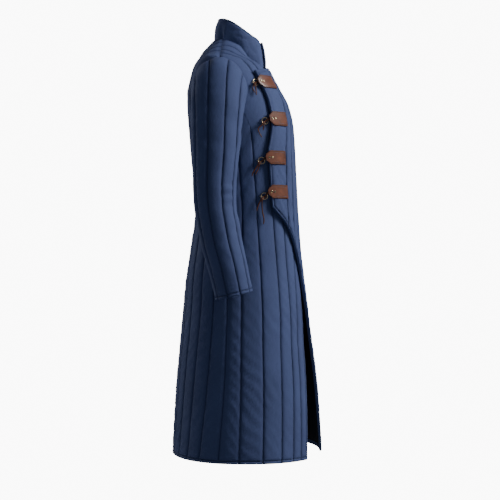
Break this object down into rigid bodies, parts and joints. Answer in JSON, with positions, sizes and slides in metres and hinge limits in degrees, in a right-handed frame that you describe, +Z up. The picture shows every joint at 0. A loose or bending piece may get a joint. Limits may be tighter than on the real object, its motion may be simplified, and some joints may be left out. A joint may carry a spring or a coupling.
{
  "type": "gambeson",
  "caption": "Quilted padded gambeson with long sleeves, a wrap-over front flap laced to rings, a low collar and a long open skirt; worn hollow form.",
  "frame": {"origin": "middle of the neck hole, where the shoulder seams lie on the wearer", "axes": "+Z up, the front faces -Y, the wearer's right side is -X"},
  "size_m": [0.6744, 0.4094, 1.1843],
  "materials": {
    "blue_cotton": "matt quilted cotton canvas over wadding",
    "brown_leather": "smooth vegetable-tanned leather",
    "pale_brass": "polished pale brass"
  },
  "bodies": {
    "root": {"back": "blue_cotton", "right_front": "blue_cotton", "left_front": "blue_cotton", "right_sleeve": "blue_cotton", "left_sleeve": "blue_cotton", "collar": "blue_cotton", "tab_1": "brown_leather", "eyelet_1_1": "pale_brass", "eyelet_1_2": "pale_brass", "ring_1": "pale_brass", "staple_1": "pale_brass", "knot_1": "brown_leather", "thong_1": "brown_leather", "lace_1_a": "brown_leather", "lace_1_b": "brown_leather", "tab_2": "brown_leather", "eyelet_2_1": "pale_brass", "eyelet_2_2": "pale_brass", "ring_2": "pale_brass", "staple_2": "pale_brass", "knot_2": "brown_leather", "thong_2": "brown_leather", "lace_2_a": "brown_leather", "lace_2_b": "brown_leather", "tab_3": "brown_leather", "eyelet_3_1": "pale_brass", "eyelet_3_2": "pale_brass", "ring_3": "pale_brass", "staple_3": "pale_brass", "knot_3": "brown_leather", "thong_3": "brown_leather", "lace_3_a": "brown_leather", "lace_3_b": "brown_leather", "tab_4": "brown_leather", "eyelet_4_1": "pale_brass", "eyelet_4_2": "pale_brass", "ring_4": "pale_brass", "staple_4": "pale_brass", "knot_4": "brown_leather", "thong_4": "brown_leather", "lace_4_a": "brown_leather", "lace_4_b": "brown_leather"}
  },
  "joints": []
}
